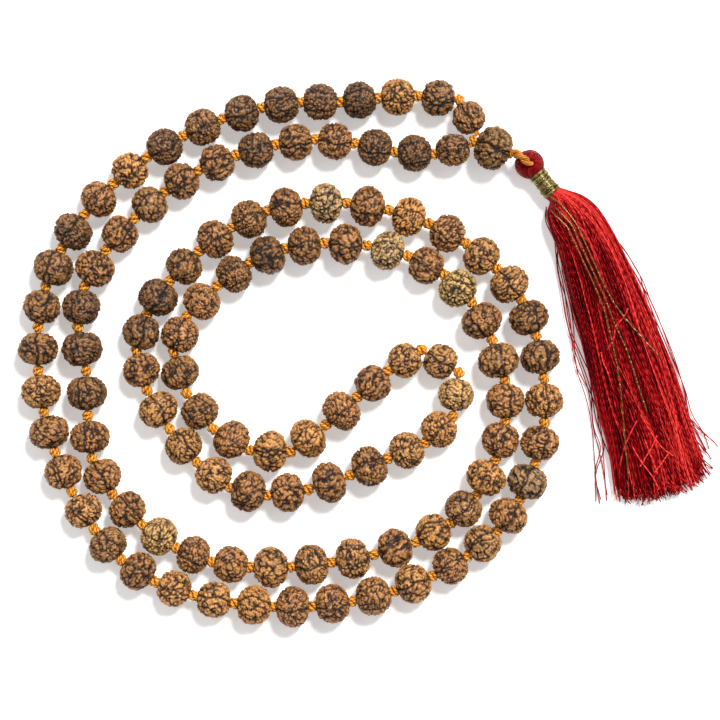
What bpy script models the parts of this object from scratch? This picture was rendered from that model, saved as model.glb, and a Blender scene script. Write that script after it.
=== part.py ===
"""A mala of 108 knotted rudraksha beads with a guru bead and a silk tassel.

It lies on a surface as one closed loop, folded into two strands side by side that wind inwards.
Metres, +Z up. The origin is on that surface, under the middle of the whole object.

The beads next to the guru bead and at the inner turn are single, each with its own bore on a
knotted thread. The others are short runs of beads, knots and thread in one solid.
"""

import math

import bmesh
import bpy
from mathutils import Matrix, Vector

# The string and its beads.
BEAD_COUNT = 108
BEAD_FLAT_RADIUS = 0.00435      # from the thread to the flats around a bead
END_BEAD_FLAT_RADIUS = 0.0040   # the two beads that share the guru bead's side
BEAD_BAND = 0.0012              # half length of a bead's straight middle
BEAD_CROWN = (0.0028, 0.00295)  # from a bead's middle, and radius, where its side turns in
BEAD_END = (0.0036, 0.0015)     # from a bead's middle, and radius, at its end face
RUN_BAND = 0.0016              # half length of the straight middle of a bead in a run
RUN_END = (0.0036, 0.0022)      # from its middle, and radius, at its end face
DIMPLE_DEPTH = 0.0004
BORE_RADIUS = 0.0011
THREAD_RADIUS = 0.0006
KNOT_RADIUS = 0.0014
KNOT_HALF_LENGTH = 0.0006
KNOT_TAPER = 0.0007             # from a knot's end to the plain thread
THREAD_GAP = 0.0019             # from a fold's knot to the next stretch of thread
STRING_HEIGHT = BEAD_FLAT_RADIUS

# Where the string's knots lie, from the guru bead out along the outer strand and back along the
# inner one: (knot number, x, y). Knot n is between bead n and bead n + 1.
ROUTE = [
    (0, 0.0270, 0.0520), (1, 0.0225, 0.0605), (2, 0.0125, 0.0615), (4, -0.0060, 0.0600),
    (5, -0.0155, 0.0600), (14, -0.0785, 0.0060), (15, -0.0785, -0.0045), (17, -0.0745, -0.0240),
    (20, -0.0585, -0.0500), (24, -0.0220, -0.0612), (31, 0.0370, -0.0355), (33, 0.0430, -0.0170),
    (35, 0.0410, 0.0040), (44, -0.0320, 0.0300), (46, -0.0470, 0.0170), (48, -0.0550, 0.0005),
    (50, -0.0470, -0.0185), (52, -0.0325, -0.0325), (56, 0.0055, -0.0255), (58, 0.0210, -0.0155),
    (59, 0.0225, -0.0050), (60, 0.0135, 0.0005), (61, 0.0055, -0.0045), (63, -0.0095, -0.0175),
    (64, -0.0180, -0.0240), (66, -0.0365, -0.0185), (68, -0.0460, 0.0000), (71, -0.0275, 0.0215),
    (77, 0.0255, 0.0120), (79, 0.0335, -0.0070), (83, 0.0205, -0.0410), (86, -0.0080, -0.0505),
    (90, -0.0455, -0.0470), (93, -0.0655, -0.0255), (95, -0.0670, -0.0045), (96, -0.0690, 0.0060),
    (100, -0.0480, 0.0385), (104, -0.0120, 0.0510), (107, 0.0165, 0.0475), (108, 0.0255, 0.0495),
]

# Single beads: (name, first bead, last bead, end knots that its thread ties, fold it hangs from).
SINGLE_STRETCHES = [
    ("lead_1_outer", 1, 3, (), "lead_1"),
    ("lead_1_inner", 107, 108, (), "lead_1"),
    ("lead_2_outer", 4, 6, (3,), "lead_2"),
    ("lead_2_inner", 104, 106, (106,), "lead_2"),
    ("lead_3_outer", 7, 9, (6,), "lead_3"),
    ("lead_3_inner", 101, 103, (103,), "lead_3"),
    ("lead_4_outer", 10, 11, (9,), "lead_4"),
    ("lead_4_inner", 99, 100, (100,), "lead_4"),
    ("inner_turn", 57, 62, (), "inner_turn"),
]
# Runs: (first bead, last bead, end knots that are part of it, fold it hangs from).
RUNS = [
    (12, 17, (11, 17), None),
    (18, 23, (23,), None),
    (24, 29, (29,), None),
    (30, 35, (35,), None),
    (36, 41, (41,), None),
    (42, 47, (47,), None),
    (48, 53, (53,), None),
    (54, 56, (56,), "inner_fold"),
    (63, 65, (62,), "inner_fold"),
    (66, 71, (65, 71), None),
    (72, 77, (77,), None),
    (78, 83, (83,), None),
    (84, 88, (88,), None),
    (89, 93, (93,), None),
    (94, 98, (98,), None),
]

# Folds: (name, knot on the outer strand, knot on the inner strand, fold it hangs from).
FOLDS = [
    ("lead_4", 11, 98, None),
    ("lead_3", 9, 100, "lead_4"),
    ("lead_2", 6, 103, "lead_3"),
    ("lead_1", 3, 106, "lead_2"),
    ("inner_fold", 53, 65, None),
    ("inner_turn", 56, 62, "inner_fold"),
]

# The guru bead, between the junction knot and the hole that the tassel's loop comes out of.
JUNCTION = Vector((0.0259, 0.0506, 0.0052))
GURU_EXIT = Vector((0.0354, 0.0472, 0.0052))
GURU_PROFILE = [
    (-0.0045, 0.0019), (-0.0036, 0.0034), (-0.0014, 0.0052),
    (0.0014, 0.0052), (0.0036, 0.0034), (0.0045, 0.0019),
]
GURU_DIMPLE_DEPTH = 0.0008
GURU_BORE_RADIUS = 0.0014
# Stations of the cord in the guru bead: (distance from the junction knot's middle, radius).
GURU_CORD = [
    (-0.0009, 0.0006), (-0.0004, 0.0011), (0.0004, 0.0011), (0.0009, 0.0009), (0.0097, 0.0009),
]

# The tassel.
LOOP_RADIUS = 0.0008
LOOP_ROUTE = [
    (0.03575, 0.04705, 0.0059), (0.0360, 0.0469, 0.0067), (0.0366, 0.0466, 0.0076),
    (0.0375, 0.0461, 0.0082), (0.0384, 0.0456, 0.0084), (0.0394, 0.0451, 0.0084),
]
BALL_CENTRE = Vector((0.0394, 0.0451, 0.0037))
# Stations of the wound ball and its neck: (distance along the tassel, radius).
BALL_PROFILE = [
    (-0.0033, 0.0009), (-0.0026, 0.0023), (-0.0012, 0.0032), (0.0005, 0.0034),
    (0.0020, 0.0028), (0.0029, 0.0017), (0.0089, 0.0017),
]
TASSEL_ANGLE = math.radians(-51.0)
# Stations of the gold wrap, down its outside and back through its bore.
WRAP_PROFILE = [
    (0.0033, 0.0024), (0.0061, 0.0022), (0.0089, 0.0024), (0.0089, 0.0020), (0.0033, 0.0020),
]
BEND_OFFSET = 0.0093            # where the silk bends, along the tassel from the ball's middle
# Skirt sections: (left x, left y, right x, right y, lowest z, highest z).
SKIRT = [
    (0.0449, 0.0373, 0.0463, 0.0385, 0.0028, 0.0046),
    (0.0446, 0.0358, 0.0480, 0.0382, 0.0015, 0.0058),
    (0.0439, 0.0330, 0.0520, 0.0373, 0.0003, 0.0066),
    (0.0447, 0.0295, 0.0555, 0.0343, 0.0001, 0.0072),
    (0.0468, 0.0245, 0.0590, 0.0285, 0.0001, 0.0070),
    (0.0486, 0.0175, 0.0622, 0.0215, 0.0001, 0.0066),
    (0.0503, 0.0105, 0.0663, 0.0135, 0.0001, 0.0062),
    (0.0525, 0.0030, 0.0698, 0.0055, 0.0001, 0.0058),
    (0.0548, -0.0055, 0.0737, -0.0035, 0.0001, 0.0052),
    (0.0570, -0.0140, 0.0770, -0.0125, 0.0001, 0.0046),
    (0.0600, -0.0235, 0.0794, -0.0200, 0.0001, 0.0040),
    (0.0618, -0.0345, 0.0828, -0.0270, 0.0001, 0.0034),
]
TAIL_RADIUS = 0.0003
TAIL_POINTS = 40
# The loose ends of the gold thread, over the skirt.
TAIL_ROUTES = {
    "gold_tail_1": [
        (0.0462, 0.0359, 0.0068), (0.0475, 0.0345, 0.0074), (0.0488, 0.0329, 0.0077),
        (0.0501, 0.0311, 0.0079), (0.0513, 0.0289, 0.0079), (0.0523, 0.0267, 0.0079),
        (0.0533, 0.0244, 0.0078), (0.0544, 0.0220, 0.0077), (0.0556, 0.0194, 0.0076),
        (0.0568, 0.0168, 0.0075), (0.0583, 0.0138, 0.0073), (0.0602, 0.0107, 0.0071),
        (0.0632, 0.0069, 0.0068), (0.0668, 0.0029, 0.0065), (0.0703, -0.0010, 0.0062),
    ],
    "gold_tail_2": [
        (0.0466, 0.0334, 0.0075), (0.0479, 0.0320, 0.0078), (0.0492, 0.0305, 0.0080),
        (0.0503, 0.0284, 0.0080), (0.0513, 0.0262, 0.0079), (0.0523, 0.0240, 0.0078),
        (0.0534, 0.0215, 0.0077), (0.0546, 0.0189, 0.0076), (0.0558, 0.0163, 0.0074),
        (0.0572, 0.0132, 0.0072), (0.0584, 0.0102, 0.0071), (0.0593, 0.0076, 0.0069),
        (0.0605, 0.0050, 0.0067), (0.0620, 0.0019, 0.0065), (0.0633, -0.0015, 0.0063),
        (0.0644, -0.0048, 0.0061), (0.0654, -0.0080, 0.0059), (0.0665, -0.0113, 0.0057),
        (0.0676, -0.0145, 0.0055),
    ],
    "gold_tail_3": [
        (0.0456, 0.0326, 0.0075), (0.0469, 0.0313, 0.0078), (0.0483, 0.0298, 0.0080),
        (0.0493, 0.0278, 0.0080), (0.0503, 0.0257, 0.0079), (0.0513, 0.0235, 0.0078),
        (0.0524, 0.0210, 0.0077), (0.0536, 0.0185, 0.0075), (0.0548, 0.0159, 0.0074),
        (0.0561, 0.0128, 0.0072), (0.0572, 0.0099, 0.0071), (0.0580, 0.0070, 0.0069),
        (0.0588, 0.0036, 0.0066), (0.0596, 0.0002, 0.0064), (0.0604, -0.0036, 0.0062),
        (0.0610, -0.0078, 0.0059), (0.0615, -0.0120, 0.0057), (0.0619, -0.0164, 0.0054),
        (0.0623, -0.0210, 0.0051), (0.0627, -0.0256, 0.0048), (0.0632, -0.0300, 0.0045),
    ],
}

RUN_SIDES = 8
SINGLE_SIDES = 12
THREAD_SIDES = 8
TASSEL_SIDES = 12

SEED_BROWN = ((0.21, 0.10, 0.045, 1.0), 0.70, 0.0)
GURU_BROWN = ((0.14, 0.07, 0.035, 1.0), 0.70, 0.0)
ORANGE_THREAD = ((0.72, 0.30, 0.03, 1.0), 0.75, 0.0)
RED_SILK = ((0.55, 0.01, 0.02, 1.0), 0.45, 0.0)
GOLD_THREAD = ((0.50, 0.38, 0.12, 1.0), 0.35, 0.8)

UP = Vector((0.0, 0.0, 1.0))


def clear_scene():
    """Takes out every object that is in the file."""
    for old in list(bpy.data.objects):
        bpy.data.objects.remove(old, do_unlink=True)


def make_material(name, look):
    """A Principled material of one colour, roughness and metallic value."""
    colour, roughness, metallic = look
    material = bpy.data.materials.new(name + "_material")
    material.use_nodes = True
    shader = material.node_tree.nodes["Principled BSDF"]
    shader.inputs["Base Color"].default_value = colour
    shader.inputs["Roughness"].default_value = roughness
    shader.inputs["Metallic"].default_value = metallic
    material.diffuse_color = colour
    return material


def curve_point(knots, points, at):
    """A point on the smooth curve that passes through points where its parameter equals knots."""
    last = len(points) - 1
    span = 0
    while span < last - 1 and at >= knots[span + 1]:
        span += 1

    def slope(i):
        before = max(i - 1, 0)
        after = min(i + 1, last)
        if before == i or after == i:
            return (points[after] - points[before]) / (knots[after] - knots[before])
        back = (points[i] - points[before]) / (knots[i] - knots[before])
        ahead = (points[after] - points[i]) / (knots[after] - knots[i])
        share = (knots[after] - knots[i]) / (knots[after] - knots[before])
        return back * share + ahead * (1.0 - share)

    width = knots[span + 1] - knots[span]
    t = (at - knots[span]) / width
    return (
        points[span] * (2 * t**3 - 3 * t**2 + 1)
        + slope(span) * (width * (t**3 - 2 * t**2 + t))
        + points[span + 1] * (3 * t**2 - 2 * t**3)
        + slope(span + 1) * (width * (t**3 - t**2))
    )


def string_knots():
    """The place of each of the string's knots, the two at the junction knot included."""
    numbers = [entry[0] for entry in ROUTE]
    places = [Vector((entry[1], entry[2], STRING_HEIGHT)) for entry in ROUTE]
    knots = [curve_point(numbers, places, n) for n in range(BEAD_COUNT + 1)]
    knots[0].z = JUNCTION.z
    knots[-1].z = JUNCTION.z
    return knots


def ring(bm, centre, axis, flat_radius, sides):
    """One ring of points around an axis, with a flat side facing down."""
    side = axis.cross(UP).normalized()
    top = side.cross(axis).normalized()
    radius = flat_radius / math.cos(math.pi / sides)
    turn = 2.0 * math.pi / sides
    return [
        bm.verts.new(
            centre
            + side * (radius * math.cos((i + 0.5) * turn))
            + top * (radius * math.sin((i + 0.5) * turn))
        )
        for i in range(sides)
    ]


def skin(bm, rings, bored=False):
    """Faces between neighbouring rings, then the two ends, or the way back through the bore."""
    pairs = list(zip(rings, rings[1:]))
    if bored:
        pairs.append((rings[-1], rings[0]))
    for one, two in pairs:
        count = len(one)
        for i in range(count):
            j = (i + 1) % count
            bm.faces.new((one[i], one[j], two[j], two[i]))
    if not bored:
        bm.faces.new(rings[0])
        bm.faces.new(rings[-1])
    bmesh.ops.recalc_face_normals(bm, faces=bm.faces)


def finish_mesh(name, bm):
    """A mesh from bm, shaded smooth between gentle angles."""
    mesh = bpy.data.meshes.new(name)
    bm.to_mesh(mesh)
    bm.free()
    mesh.shade_smooth()
    mesh.set_sharp_from_angle(angle=math.radians(35.0))
    return mesh


def world_place(thing):
    """Where an unturned object's origin is in the world, through all its parents."""
    place = Vector()
    while thing:
        place += thing.location
        thing = thing.parent
    return place


def add_object(name, data, origin, parent=None):
    """One object, placed at origin in the world and hung from its parent empty."""
    thing = bpy.data.objects.new(name, data)
    thing.parent = parent
    thing.location = origin - world_place(parent)
    bpy.context.collection.objects.link(thing)
    return thing


def add_part(name, bm, look, origin, parent=None):
    """One named sub-part with its own material."""
    part = add_object(name, finish_mesh(name, bm), origin, parent)
    part.data.materials.append(make_material(name, look))
    return part


def loft(name, stations, sides, look, parent, bored=False):
    """A solid through stations of (centre, axis, flat radius), with its origin at the first one."""
    origin = stations[0][0]
    bm = bmesh.new()
    rings = [ring(bm, centre - origin, axis, radius, sides) for centre, axis, radius in stations]
    skin(bm, rings, bored)
    return add_part(name, bm, look, origin, parent)


def bored_bead(name, centre, axis, profile, dimple_depth, bore_radius, look, parent):
    """A lathed bead with a bore and dimpled ends, turned onto its thread, whose origin is its middle.

    The profile is (distance along the thread, flat radius), from one end face to the other.
    """
    dimple = profile[-1][0] - dimple_depth
    along = Vector((1.0, 0.0, 0.0))
    bm = bmesh.new()
    outline = profile + [(dimple, bore_radius), (-dimple, bore_radius)]
    skin(bm, [ring(bm, along * x, along, radius, SINGLE_SIDES) for x, radius in outline], bored=True)
    bead = add_part(name, bm, look, centre, parent)
    side = UP.cross(axis).normalized()
    bead.rotation_euler = Matrix((axis, side, axis.cross(side))).transposed().to_euler()
    return bead


def bead_axis(knots, bead):
    """A bead's middle and the direction of the thread through it."""
    start = knots[bead - 1]
    end = knots[bead]
    return (start + end) / 2.0, (end - start).normalized()


def knot_direction(knots, number):
    """The direction in which a knot lies, halfway between the beads beside it."""
    before = knots[max(number - 1, 0)]
    after = knots[min(number + 1, BEAD_COUNT)]
    return ((knots[number] - before).normalized() + (after - knots[number]).normalized()).normalized()


def knot_stations(knots, number):
    """The thick part of a knot."""
    along = knot_direction(knots, number)
    return [
        (knots[number] - along * KNOT_HALF_LENGTH, along, KNOT_RADIUS),
        (knots[number] + along * KNOT_HALF_LENGTH, along, KNOT_RADIUS),
    ]


def add_run(knots, first, last, end_knots, parent):
    """Beads first to last with the knots between them and its end knots, as one solid."""
    stations = []
    if first - 1 in end_knots:
        stations += knot_stations(knots, first - 1)
    for bead in range(first, last + 1):
        centre, axis = bead_axis(knots, bead)
        end, end_radius = RUN_END
        for x, radius in (
            (-end, end_radius), (-RUN_BAND, BEAD_FLAT_RADIUS),
            (RUN_BAND, BEAD_FLAT_RADIUS), (end, end_radius),
        ):
            stations.append((centre + axis * x, axis, radius))
        if bead < last or last in end_knots:
            stations += knot_stations(knots, bead)
    name = f"beads_{first:03d}_to_{last:03d}"
    return loft(name, stations, RUN_SIDES, SEED_BROWN, parent)


def add_thread(name, knots, first, last, end_knots, parent):
    """The thread through single beads first to last, with the knots between them."""
    stations = []
    for number in range(first - 1, last + 1):
        tied = first - 1 < number < last or number in end_knots
        reach = KNOT_HALF_LENGTH + KNOT_TAPER if tied else THREAD_GAP
        if number >= first:
            before = (knots[number] - knots[number - 1]).normalized()
            stations.append((knots[number] - before * reach, before, THREAD_RADIUS))
        if tied:
            stations += knot_stations(knots, number)
        if number < last:
            after = (knots[number + 1] - knots[number]).normalized()
            stations.append((knots[number] + after * reach, after, THREAD_RADIUS))
    return loft(name + "_thread", stations, THREAD_SIDES, ORANGE_THREAD, parent)


def add_single_bead(knots, bead, parent):
    """One bead that turns on its thread."""
    centre, axis = bead_axis(knots, bead)
    radius = END_BEAD_FLAT_RADIUS if bead in (1, BEAD_COUNT) else BEAD_FLAT_RADIUS
    half = [(BEAD_BAND, radius), BEAD_CROWN, BEAD_END]
    profile = [(-x, r) for x, r in reversed(half)] + half
    return bored_bead(
        f"bead_{bead:03d}", centre, axis, profile, DIMPLE_DEPTH, BORE_RADIUS, SEED_BROWN, parent
    )


def add_string(knots, axes):
    """Every bead and every stretch of thread of the string."""
    for name, first, last, end_knots, fold in SINGLE_STRETCHES:
        add_thread(name, knots, first, last, end_knots, axes[fold])
        for bead in range(first, last + 1):
            add_single_bead(knots, bead, axes[fold])
    for first, last, end_knots, fold in RUNS:
        add_run(knots, first, last, end_knots, axes.get(fold))


def add_fold_axes(knots):
    """An empty on each fold's axis, halfway between its two knots."""
    axes = {}
    for name, outer, inner, parent in FOLDS:
        middle = (knots[outer] + knots[inner]) / 2.0
        axes[name] = add_object(name + "_axis", None, middle, axes.get(parent))
    return axes


def add_guru(parent):
    """The guru bead and the cord through it, which hang from the junction knot."""
    axis = (GURU_EXIT - JUNCTION).normalized()
    centre = (JUNCTION + GURU_EXIT) / 2.0
    hinge = add_object("guru_axis", None, JUNCTION, parent)
    stations = [(JUNCTION + axis * x, axis, radius) for x, radius in GURU_CORD]
    loft("guru_cord", stations, THREAD_SIDES, ORANGE_THREAD, hinge)
    bored_bead(
        "guru_bead", centre, axis, GURU_PROFILE, GURU_DIMPLE_DEPTH, GURU_BORE_RADIUS, GURU_BROWN, hinge
    )
    return hinge


def add_loop(parent):
    """The end of the guru bead's cord, which the tassel hangs on."""
    hinge = add_object("loop_axis", None, GURU_EXIT, parent)
    points = [Vector(place) for place in LOOP_ROUTE]
    stations = []
    for i, point in enumerate(points):
        before = points[max(i - 1, 0)]
        after = points[min(i + 1, len(points) - 1)]
        stations.append((point, (after - before).normalized(), LOOP_RADIUS))
    loft("tassel_loop", stations, THREAD_SIDES, ORANGE_THREAD, hinge)
    return hinge


def add_head(parent, along):
    """The wound ball with its neck, and the gold wrap around the neck."""
    hinge = add_object("tassel_axis", None, Vector(LOOP_ROUTE[-1]), parent)
    ball = [(BALL_CENTRE + along * x, along, radius) for x, radius in BALL_PROFILE]
    loft("tassel_ball", ball, TASSEL_SIDES, RED_SILK, hinge)
    wrap = [(BALL_CENTRE + along * x, along, radius) for x, radius in WRAP_PROFILE]
    loft("gold_wrap", wrap, TASSEL_SIDES, GOLD_THREAD, hinge, bored=True)
    return hinge


def add_skirt(parent, along):
    """The silk below the gold wrap, as one closed solid."""
    origin = BALL_CENTRE + along * BEND_OFFSET
    hinge = add_object("skirt_axis", None, origin, parent)
    turn = 2.0 * math.pi / TASSEL_SIDES
    reach = 1.0 / math.cos(turn / 2.0)
    bm = bmesh.new()
    rings = []
    for left_x, left_y, right_x, right_y, low, high in SKIRT:
        left = Vector((left_x, left_y, (low + high) / 2.0))
        right = Vector((right_x, right_y, (low + high) / 2.0))
        middle = (left + right) / 2.0 - origin
        across = (right - left) * (reach / 2.0)
        upwards = UP * (reach * (high - low) / 2.0)
        angles = [(i + 0.5) * turn for i in range(TASSEL_SIDES)]
        rings.append(
            [bm.verts.new(middle + across * math.cos(a) + upwards * math.sin(a)) for a in angles]
        )
    skin(bm, rings)
    add_part("tassel_skirt", bm, RED_SILK, origin, hinge)
    return hinge


def add_tails(parent):
    """The gold thread's loose ends, which lie on the skirt."""
    for name, route in TAIL_ROUTES.items():
        points = [Vector(place) for place in route]
        origin = points[0]
        last = len(points) - 1
        curve = bpy.data.curves.new(name, "CURVE")
        curve.dimensions = "3D"
        curve.bevel_depth = TAIL_RADIUS
        curve.bevel_resolution = 2
        curve.use_fill_caps = True
        spline = curve.splines.new("POLY")
        spline.points.add(TAIL_POINTS - 1)
        for i, end in enumerate(spline.points):
            place = curve_point(range(last + 1), points, last * i / (TAIL_POINTS - 1)) - origin
            end.co = (*place, 1.0)
        curve.materials.append(make_material(name, GOLD_THREAD))
        add_object(name, curve, origin, parent)


def add_tassel(parent):
    """Everything that hangs from the guru bead's cord."""
    along = Vector((math.cos(TASSEL_ANGLE), math.sin(TASSEL_ANGLE), 0.0))
    loop_axis = add_loop(parent)
    tassel_axis = add_head(loop_axis, along)
    skirt_axis = add_skirt(tassel_axis, along)
    add_tails(skirt_axis)


def main():
    clear_scene()
    knots = string_knots()
    axes = add_fold_axes(knots)
    add_string(knots, axes)
    guru_axis = add_guru(axes["lead_1"])
    add_tassel(guru_axis)


main()
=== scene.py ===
import math

import bpy
import numpy as np
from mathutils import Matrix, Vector


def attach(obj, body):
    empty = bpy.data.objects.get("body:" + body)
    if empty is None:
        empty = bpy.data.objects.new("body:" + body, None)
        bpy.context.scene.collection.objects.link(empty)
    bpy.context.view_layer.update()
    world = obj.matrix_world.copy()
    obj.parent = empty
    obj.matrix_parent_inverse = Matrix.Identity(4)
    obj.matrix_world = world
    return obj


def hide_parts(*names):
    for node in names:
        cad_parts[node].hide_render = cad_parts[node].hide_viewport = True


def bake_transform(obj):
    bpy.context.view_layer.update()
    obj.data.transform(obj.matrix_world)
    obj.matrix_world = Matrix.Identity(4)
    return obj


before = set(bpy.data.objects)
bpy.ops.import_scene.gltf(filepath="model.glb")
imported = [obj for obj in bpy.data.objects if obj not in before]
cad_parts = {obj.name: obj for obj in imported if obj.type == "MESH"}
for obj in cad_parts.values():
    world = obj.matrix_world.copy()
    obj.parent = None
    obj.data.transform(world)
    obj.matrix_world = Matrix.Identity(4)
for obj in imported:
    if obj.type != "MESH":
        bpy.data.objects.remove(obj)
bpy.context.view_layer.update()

# A mala of 108 rudraksha beads, each tied off with a knot, with a guru bead and a silk tassel.
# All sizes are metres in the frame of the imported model, where the surface it lies on is z = 0.

MM = 0.001
UP = np.array((0.0, 0.0, 1.0))

# The string. Its route repeats the design's: (knot number, x, y), and knot n follows bead n.
BEAD_COUNT = 108
STRING_HEIGHT = 4.35 * MM
THREAD_RADIUS = 0.6 * MM
KNOT_BEND = 1.5 * MM            # how far from a knot's middle the thread starts to turn
ROUTE = np.array([
    (0, 0.0270, 0.0520), (1, 0.0225, 0.0605), (2, 0.0125, 0.0615), (4, -0.0060, 0.0600),
    (5, -0.0155, 0.0600), (14, -0.0785, 0.0060), (15, -0.0785, -0.0045), (17, -0.0745, -0.0240),
    (20, -0.0585, -0.0500), (24, -0.0220, -0.0612), (31, 0.0370, -0.0355), (33, 0.0430, -0.0170),
    (35, 0.0410, 0.0040), (44, -0.0320, 0.0300), (46, -0.0470, 0.0170), (48, -0.0550, 0.0005),
    (50, -0.0470, -0.0185), (52, -0.0325, -0.0325), (56, 0.0055, -0.0255), (58, 0.0210, -0.0155),
    (59, 0.0225, -0.0050), (60, 0.0135, 0.0005), (61, 0.0055, -0.0045), (63, -0.0095, -0.0175),
    (64, -0.0180, -0.0240), (66, -0.0365, -0.0185), (68, -0.0460, 0.0000), (71, -0.0275, 0.0215),
    (77, 0.0255, 0.0120), (79, 0.0335, -0.0070), (83, 0.0205, -0.0410), (86, -0.0080, -0.0505),
    (90, -0.0455, -0.0470), (93, -0.0655, -0.0255), (95, -0.0670, -0.0045), (96, -0.0690, 0.0060),
    (100, -0.0480, 0.0385), (104, -0.0120, 0.0510), (107, 0.0165, 0.0475), (108, 0.0255, 0.0495),
])

# Single beads turn on their own bodies: (CAD thread, its body, first bead, last bead, its knots).
SINGLE_STRETCHES = [
    ("lead_1_outer", "lead_1", 1, 3, (1, 2)),
    ("lead_1_inner", "lead_1", 107, 108, (107,)),
    ("lead_2_outer", "lead_2", 4, 6, (3, 4, 5)),
    ("lead_2_inner", "lead_2", 104, 106, (104, 105, 106)),
    ("lead_3_outer", "lead_3", 7, 9, (6, 7, 8)),
    ("lead_3_inner", "lead_3", 101, 103, (101, 102, 103)),
    ("lead_4_outer", "lead_4", 10, 11, (9, 10)),
    ("lead_4_inner", "lead_4", 99, 100, (99, 100)),
    ("inner_turn", "inner_turn", 57, 62, (57, 58, 59, 60, 61)),
]
# The other beads: (strand, body, its runs as (first bead, last bead), first and last knot).
STRANDS = [
    ("outer_strand", "coil",
     [(12, 17), (18, 23), (24, 29), (30, 35), (36, 41), (42, 47), (48, 53)], 11, 53),
    ("inner_strand", "coil",
     [(66, 71), (72, 77), (78, 83), (84, 88), (89, 93), (94, 98)], 65, 98),
    ("fold_outer", "inner_fold", [(54, 56)], 54, 56),
    ("fold_inner", "inner_fold", [(63, 65)], 62, 64),
]

# Seeds.
SEED_SIDES = 120
SEED_ROWS = 58
SEED_HALF_LENGTH = 4.2 * MM
SEED_RADII = (4.45 * MM, 5.1 * MM)     # the smallest and the largest across
TURNING_SEED_RADIUS = 4.58 * MM         # the most for a seed that turns on its thread
END_SEED_RADIUS = 4.05 * MM             # the two that share the guru bead's side
CROWDED_SEEDS = (59, 60, 61)            # the string bends sharply at these
CROWDED_SEED_RADIUS = 4.40 * MM
RIM_RADIUS = 1.3 * MM
BORE_RADIUS = 0.85 * MM
SEED_FACES = 5                          # a rudraksha's lines from hole to hole
FLOOR_HEIGHT = -0.30 * MM

# Seeds that differ from the usual brown: sun-bleached, grey, olive, golden, light and dark ones.
USUAL_BROWN = (0.212, 0.094, 0.031)
SEED_TONES = {
    (0.32, 0.185, 0.070): (59, 91),
    (0.26, 0.165, 0.080): (42, 75),
    (0.33, 0.215, 0.076): (77,),
    (0.30, 0.138, 0.040): (3, 10, 24, 28, 34, 40, 58, 64, 65, 82, 84),
    (0.27, 0.130, 0.044): (16, 19, 22, 23, 30, 37, 38, 50, 51, 52, 57, 60, 61, 86, 87, 88),
    (0.180, 0.102, 0.047): (32,),
    (0.19, 0.092, 0.032): (20, 79, 83, 100),
    (0.165, 0.075, 0.024): (2, 13, 14, 15, 17, 35, 36, 44, 67, 68),
    (0.145, 0.066, 0.021): (8, 46, 48, 71, 73, 95, 108),
    (0.110, 0.050, 0.018): (4, 5, 6, 7, 9, 12, 47, 72, 96, 97, 103, 106, 107),
}

# The guru bead, between the junction knot and the hole that the tassel's loop leaves by.
JUNCTION = np.array((0.0259, 0.0506, 0.0052))
GURU_EXIT = np.array((0.0354, 0.0472, 0.0052))
GURU_RADIUS = 5.38 * MM
GURU_HALF_LENGTH = 4.6 * MM
GURU_TONE = (0.140, 0.068, 0.021)

# The tassel.
TASSEL_ANGLE = math.radians(-51.0)
ALONG = np.array((math.cos(TASSEL_ANGLE), math.sin(TASSEL_ANGLE), 0.0))
ACROSS = np.array((-math.sin(TASSEL_ANGLE), math.cos(TASSEL_ANGLE), 0.0))
BALL_CENTRE = np.array((0.0394, 0.0451, 0.0037))
BALL_RADIUS = 3.35 * MM
LOOP_ROUTE = np.array([
    (0.0346, 0.0475, 0.0053), (0.0355, 0.0476, 0.0060), (0.0363, 0.0473, 0.0070),
    (0.0373, 0.0466, 0.0079), (0.0383, 0.0458, 0.0081), (0.0391, 0.0452, 0.0077),
    (0.0395, 0.0449, 0.0066),
])
WRAP_ENDS = (3.1 * MM, 8.9 * MM)        # from the ball's middle, along the tassel
WRAP_TURNS = 24
# The silk's sections below the wrap: (left x, left y, right x, right y, lowest z, highest z).
SKIRT = np.array([
    (0.0445, 0.0360, 0.0484, 0.0388, 0.0015, 0.0058),
    (0.0438, 0.0331, 0.0523, 0.0373, 0.0003, 0.0066),
    (0.0447, 0.0294, 0.0558, 0.0342, 0.0001, 0.0072),
    (0.0466, 0.0245, 0.0594, 0.0284, 0.0001, 0.0070),
    (0.0484, 0.0175, 0.0628, 0.0216, 0.0001, 0.0066),
    (0.0501, 0.0105, 0.0664, 0.0136, 0.0001, 0.0062),
    (0.0522, 0.0030, 0.0698, 0.0055, 0.0001, 0.0058),
    (0.0543, -0.0055, 0.0735, -0.0035, 0.0001, 0.0052),
    (0.0563, -0.0140, 0.0766, -0.0125, 0.0001, 0.0046),
    (0.0590, -0.0235, 0.0790, -0.0200, 0.0001, 0.0040),
    (0.0606, -0.0345, 0.0822, -0.0280, 0.0001, 0.0034),
    (0.0612, -0.0395, 0.0862, -0.0322, 0.0001, 0.0030),
])
# Painted light and shade along the silk: lighter near the wrap, darkest in the middle, a little lighter again at
# the ends.
SILK_PAINTED_LIGHT = ((0.0, 0.2, 0.5, 0.8, 1.0), (0.30, 0.19, -0.13, -0.05, 0.03))    # place, shade
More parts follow.
